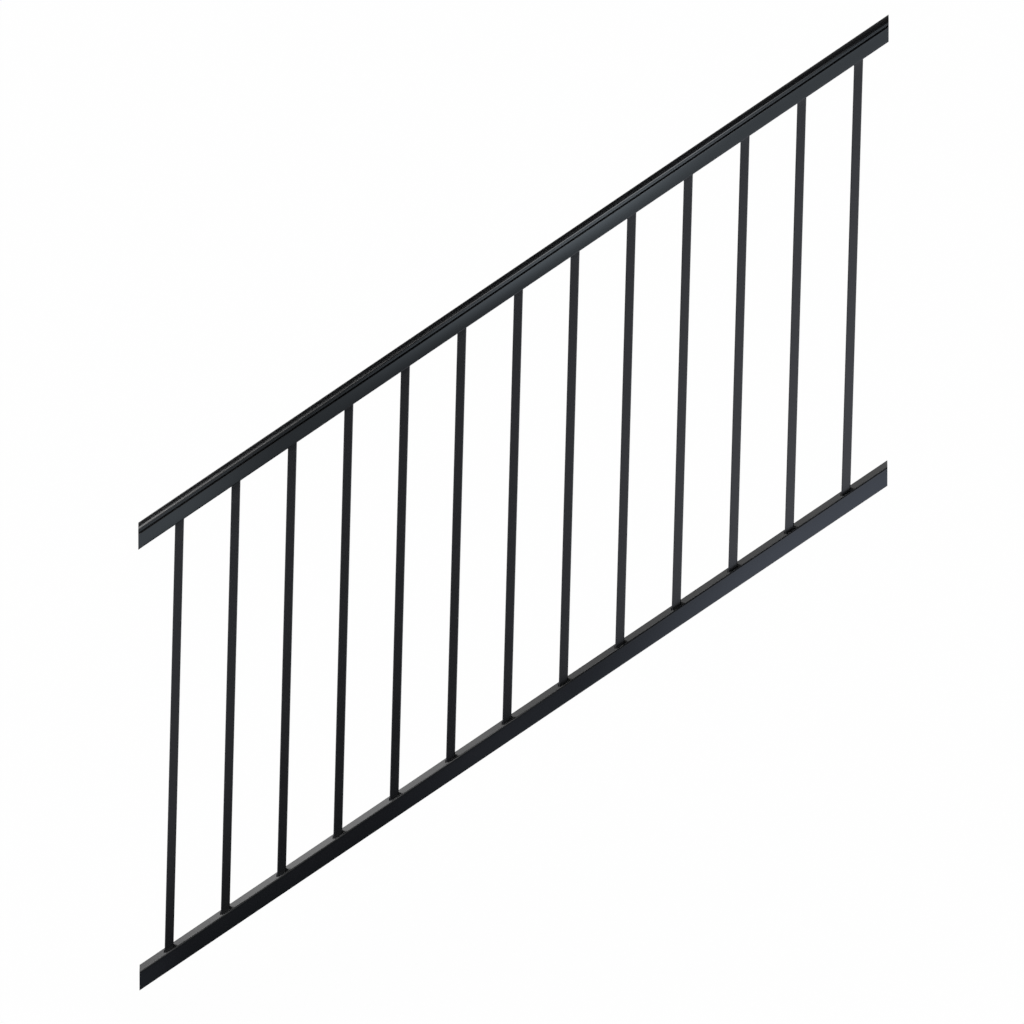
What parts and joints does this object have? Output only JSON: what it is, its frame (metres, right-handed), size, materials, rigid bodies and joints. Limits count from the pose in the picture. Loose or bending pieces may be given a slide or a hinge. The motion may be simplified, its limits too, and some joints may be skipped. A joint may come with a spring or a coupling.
{
  "type": "raked stair railing section",
  "caption": "Black powder-coated stair railing section: two sloping rails with plumb-cut ends and square hollow balusters, the top rail with a crowned clip-on cap.",
  "frame": {"origin": "on the lower plumb-cut end of the bottom rail, at the centre of its section, where the rail meets its post", "axes": "+X along the run, in which the section climbs; +Y to the back; +Z plumb up; the front faces -Y"},
  "size_m": [1.5156, 0.0444, 2.0745],
  "materials": {
    "rail_coat": "semi-gloss black powder coat",
    "baluster_coat": "semi-gloss black powder coat"
  },
  "bodies": {
    "root": {"bottom_rail": "rail_coat", "top_rail_channel": "rail_coat", "top_rail_cap": "rail_coat", "baluster_01": "baluster_coat", "baluster_02": "baluster_coat", "baluster_03": "baluster_coat", "baluster_04": "baluster_coat", "baluster_05": "baluster_coat", "baluster_06": "baluster_coat", "baluster_07": "baluster_coat", "baluster_08": "baluster_coat", "baluster_09": "baluster_coat", "baluster_10": "baluster_coat", "baluster_11": "baluster_coat", "baluster_12": "baluster_coat", "baluster_13": "baluster_coat"}
  },
  "joints": []
}
